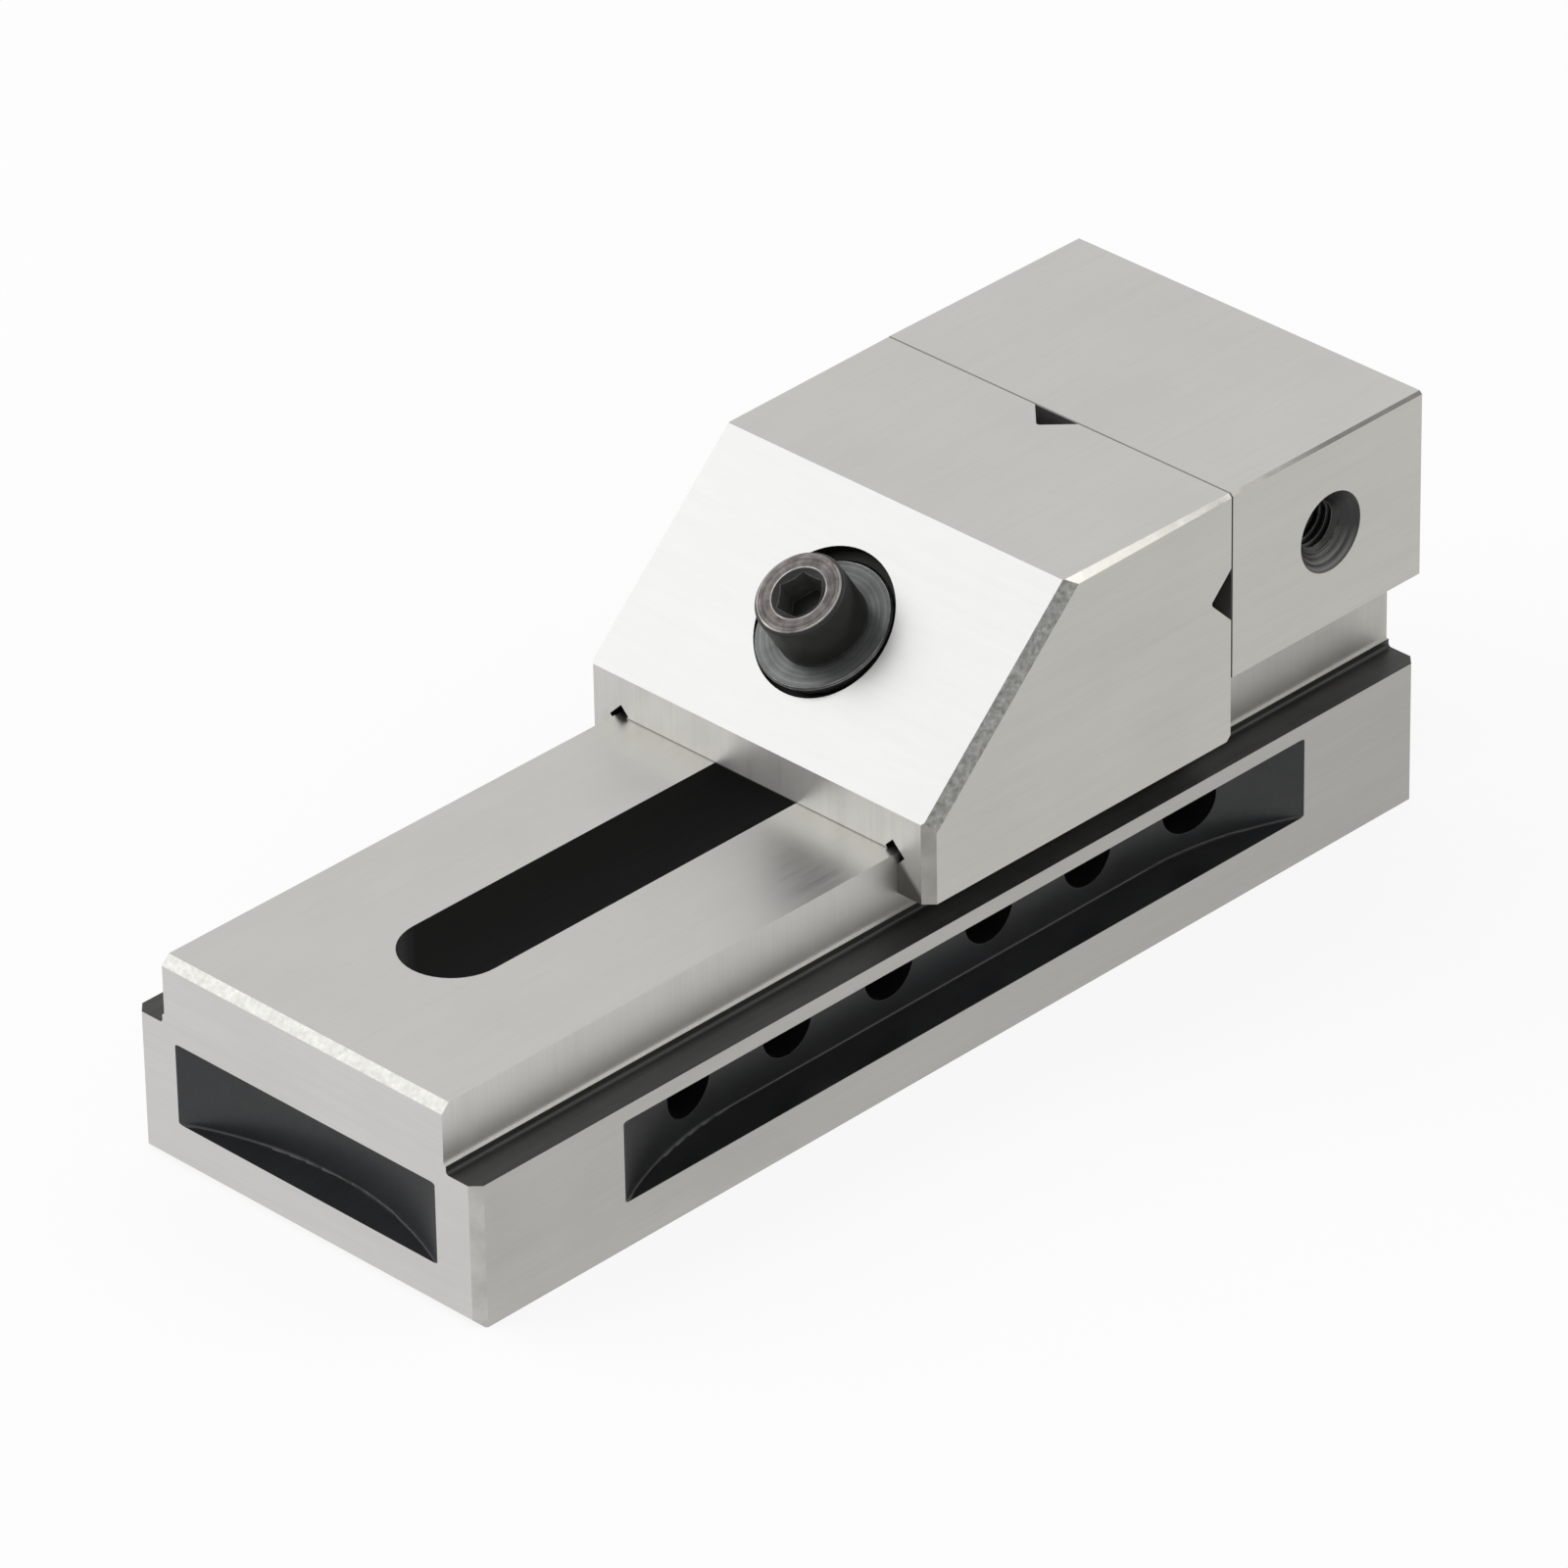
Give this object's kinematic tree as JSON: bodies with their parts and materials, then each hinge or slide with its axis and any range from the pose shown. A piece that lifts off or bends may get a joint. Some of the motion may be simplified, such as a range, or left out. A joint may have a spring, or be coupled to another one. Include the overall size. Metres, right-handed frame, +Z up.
{
  "type": "precision vise",
  "caption": "Low steel toolmaker's vise: long ground base with a fixed jaw, and a sloped sliding jaw pulled down by an angled socket head screw.",
  "frame": {"origin": "middle of the base's footprint, on the face that it stands on", "axes": "+X along the base from the front end to the fixed jaw, +Y to the left, +Z up"},
  "size_m": [0.178, 0.063, 0.063],
  "materials": {
    "ground_steel": "fine ground steel, cut pockets, ledges and slot left black oxide",
    "black_oxide": "black oxide on steel, worn bright at the edges",
    "dark_steel": "black oxide on turned steel, worn grey where it rubs",
    "hardened_pin": "hardened and ground",
    "spring_steel": "drawn wire"
  },
  "bodies": {
    "base": {"vise_body": "ground_steel"},
    "jaw": {"movable_jaw": "ground_steel"},
    "swivel": {"ball_washer": "dark_steel"},
    "screw": {"clamp_screw": "black_oxide"},
    "draw": {"pull_block": "black_oxide", "cross_pin": "hardened_pin", "pin_lock_screw": "black_oxide", "release_spring": "spring_steel"}
  },
  "joints": [
    {"name": "jaw_slide", "type": "slide", "parent": "base", "child": "jaw", "axis": [-1, 0, 0], "range_m": [0, 0.076]},
    {"name": "screw_swing", "type": "hinge", "parent": "jaw", "child": "swivel", "pos_m": [0.00538, 0, 0.05184], "axis": [0, 1, 0], "range_deg": [-0.3, 0.3]},
    {"name": "screw_spin", "type": "hinge", "parent": "swivel", "child": "screw", "pos_m": [0.00538, 0, 0.05184], "axis": [0.5516, 0, -0.8341], "range_deg": [0, 1440]},
    {"name": "draw_feed", "type": "slide", "parent": "swivel", "child": "draw", "axis": [-0.5516, 0, 0.8341], "range_m": [0, 0.005], "deforming": ["release_spring"]}
  ],
  "couplings": [
    {"joint": "draw_feed", "follows": "screw_spin", "m_per_rad": 0.00019894}
  ]
}
